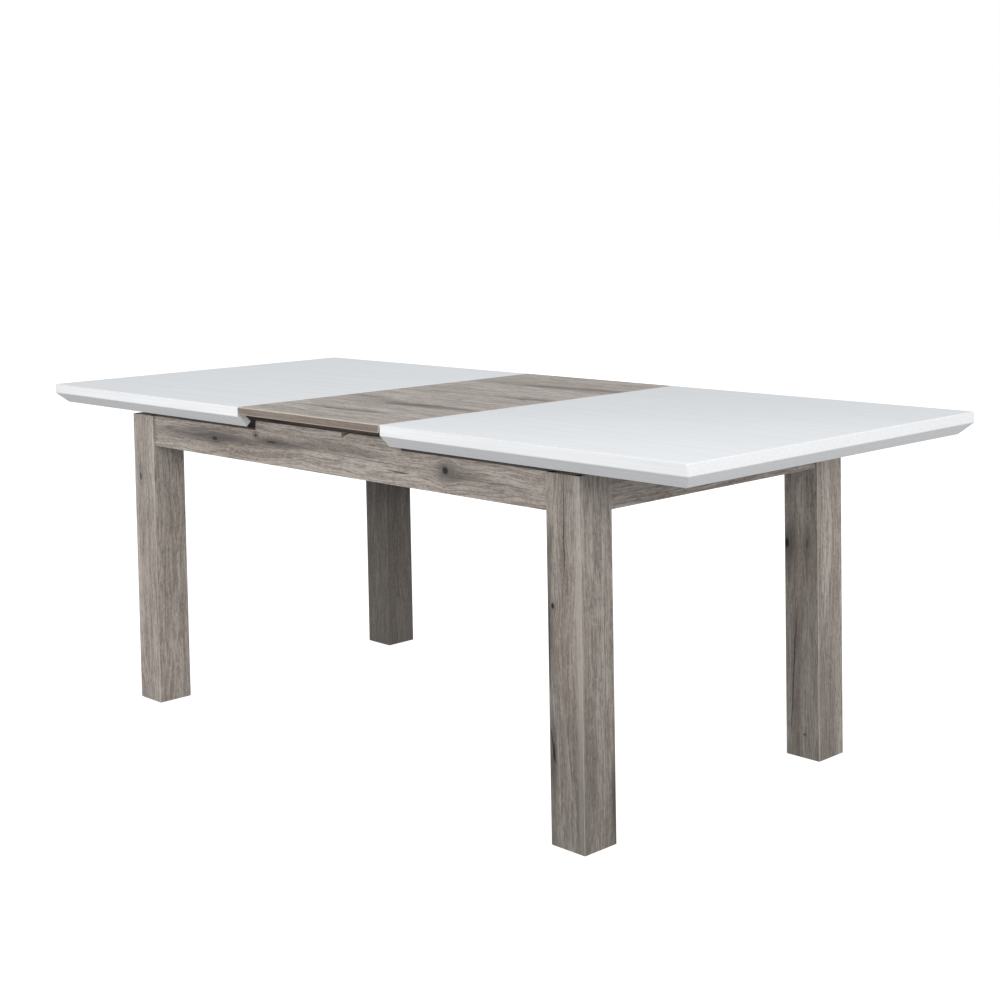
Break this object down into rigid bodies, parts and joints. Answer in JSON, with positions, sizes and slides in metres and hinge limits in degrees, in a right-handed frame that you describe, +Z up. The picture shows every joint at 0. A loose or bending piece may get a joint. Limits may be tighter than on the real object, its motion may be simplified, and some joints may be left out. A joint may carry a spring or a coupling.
{
  "type": "extendable dining table",
  "caption": "Four-leg dining table whose two white top halves slide apart on grooved rails to take a wood-grain extension leaf.",
  "frame": {"origin": "on the floor under the centre of the table", "axes": "+X along the table's length, which is the way its halves slide; +Y towards its rear long side; +Z up"},
  "size_m": [2.0904, 0.9, 0.76],
  "materials": {
    "white_lacquer": "satin white lacquered board",
    "oak_decor_leg": "grey weathered oak decor, grain upright",
    "oak_decor_rail": "grey weathered oak decor, grain along",
    "oak_decor_leaf": "grey weathered oak decor, grain along the table",
    "beech": "plain planed beech",
    "chipboard": "raw particle board",
    "nylon": "moulded nylon",
    "black_plastic": "moulded plastic",
    "zinc_steel": "zinc plated"
  },
  "bodies": {
    "base": {"apron_dowels": "beech", "apron_front": "oak_decor_rail", "apron_left": "oak_decor_rail", "apron_rear": "oak_decor_rail", "apron_right": "oak_decor_rail", "corner_bolts": "zinc_steel", "corner_bracket_screws": "zinc_steel", "corner_brackets": "zinc_steel", "corner_nuts": "zinc_steel", "cross_rail_centre": "chipboard", "cross_rail_left": "chipboard", "cross_rail_right": "chipboard", "filler_screws": "zinc_steel", "filler_strip_front": "oak_decor_rail", "filler_strip_rear": "oak_decor_rail", "foot_glides": "black_plastic", "guide_rail_front": "beech", "guide_rail_rear": "beech", "guide_rail_screws": "zinc_steel", "leg_foot_blocks": "chipboard", "leg_front_left": "oak_decor_leg", "leg_front_right": "oak_decor_leg", "leg_rear_left": "oak_decor_leg", "leg_rear_right": "oak_decor_leg", "leg_top_blocks": "chipboard", "pinion_pin": "zinc_steel", "pinion_washer": "zinc_steel", "rail_angle_screws": "zinc_steel", "rail_angles": "zinc_steel"},
    "left_half": {"board_screws_left": "zinc_steel", "edge_strip_end_left": "white_lacquer", "edge_strip_front_left": "white_lacquer", "edge_strip_rear_left": "white_lacquer", "end_dowels": "beech", "rack_block_left": "beech", "rack_left": "nylon", "runner_front_left": "beech", "runner_rear_left": "beech", "stop_blocks_left": "beech", "top_board_left": "white_lacquer"},
    "right_half": {"board_screws_right": "zinc_steel", "edge_strip_end_right": "white_lacquer", "edge_strip_front_right": "white_lacquer", "edge_strip_rear_right": "white_lacquer", "rack_block_right": "beech", "rack_right": "nylon", "runner_front_right": "beech", "runner_rear_right": "beech", "stop_blocks_right": "beech", "top_board_right": "white_lacquer"},
    "leaf": {"leaf_batten_front": "chipboard", "leaf_batten_rear": "chipboard", "leaf_batten_screws": "zinc_steel", "leaf_board": "oak_decor_leaf", "leaf_packers": "chipboard"},
    "pinion": {"opening_pinion": "nylon"}
  },
  "joints": [
    {"name": "left_half_slide", "type": "slide", "parent": "base", "child": "left_half", "axis": [1, 0, 0], "range_m": [0, 0.245]},
    {"name": "right_half_slide", "type": "slide", "parent": "base", "child": "right_half", "axis": [-1, 0, 0], "range_m": [0, 0.245]},
    {"name": "leaf_lift", "type": "slide", "parent": "base", "child": "leaf", "axis": [0, 0, 1], "range_m": [0, 0.932]},
    {"name": "pinion_spin", "type": "hinge", "parent": "base", "child": "pinion", "pos_m": [0, 0, 0.686], "axis": [0, 0, 1], "range_deg": [-470, 0]}
  ],
  "couplings": [
    {"joint": "right_half_slide", "follows": "left_half_slide", "ratio": 1},
    {"joint": "leaf_lift", "follows": "left_half_slide", "ratio": 3.8},
    {"joint": "pinion_spin", "follows": "left_half_slide", "rad_per_m": -33.333}
  ]
}
